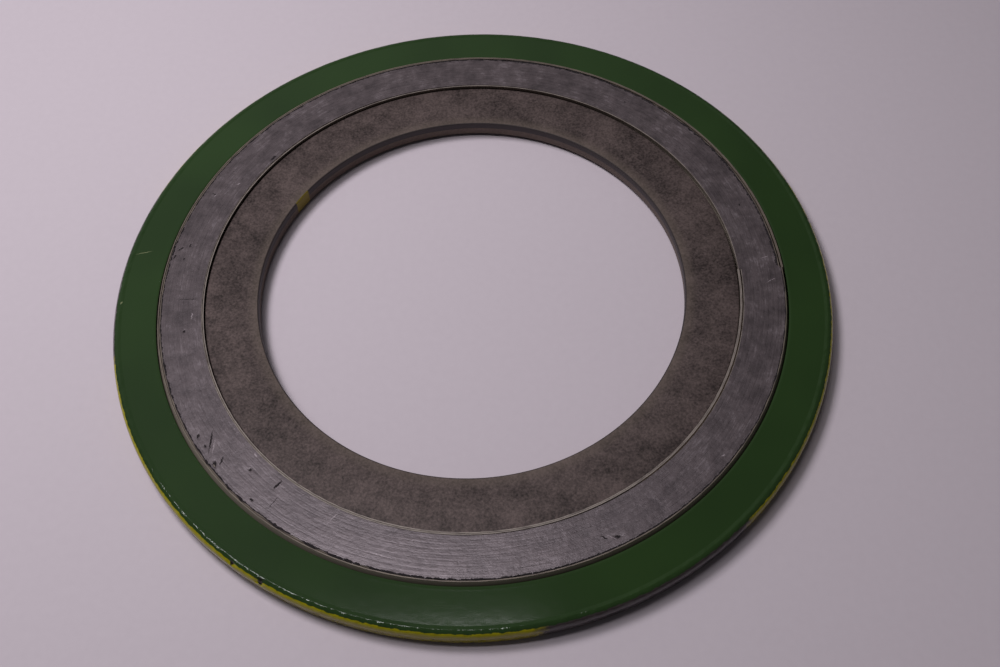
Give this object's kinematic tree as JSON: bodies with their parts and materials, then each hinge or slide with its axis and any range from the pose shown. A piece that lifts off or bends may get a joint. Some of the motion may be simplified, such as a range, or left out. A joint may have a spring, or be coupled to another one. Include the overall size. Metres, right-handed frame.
{
  "type": "spiral wound gasket",
  "caption": "Flat round flange gasket: a spiral winding of V-section metal strip and soft graphite between a plain inner ring and a painted outer centring ring.",
  "frame": {"origin": "centre of the lower sealing face, on the gasket's axis", "axes": "+Z along the pipe's axis, out of the upper sealing face; X and Y lie in the lower sealing face and are alike"},
  "size_m": [0.1365, 0.1364, 0.0046],
  "materials": {
    "green_paint": "glossy dark green powder coat over carbon steel",
    "ring_steel": "dull grey stainless steel, tumbled",
    "strip_steel": "bright cold-rolled stainless strip",
    "graphite": "pressed flexible graphite, soft grey sheen"
  },
  "bodies": {
    "root": {"outer_ring": "green_paint", "inner_ring": "ring_steel", "winding_strip": "strip_steel", "filler_strip": "graphite"}
  },
  "joints": []
}
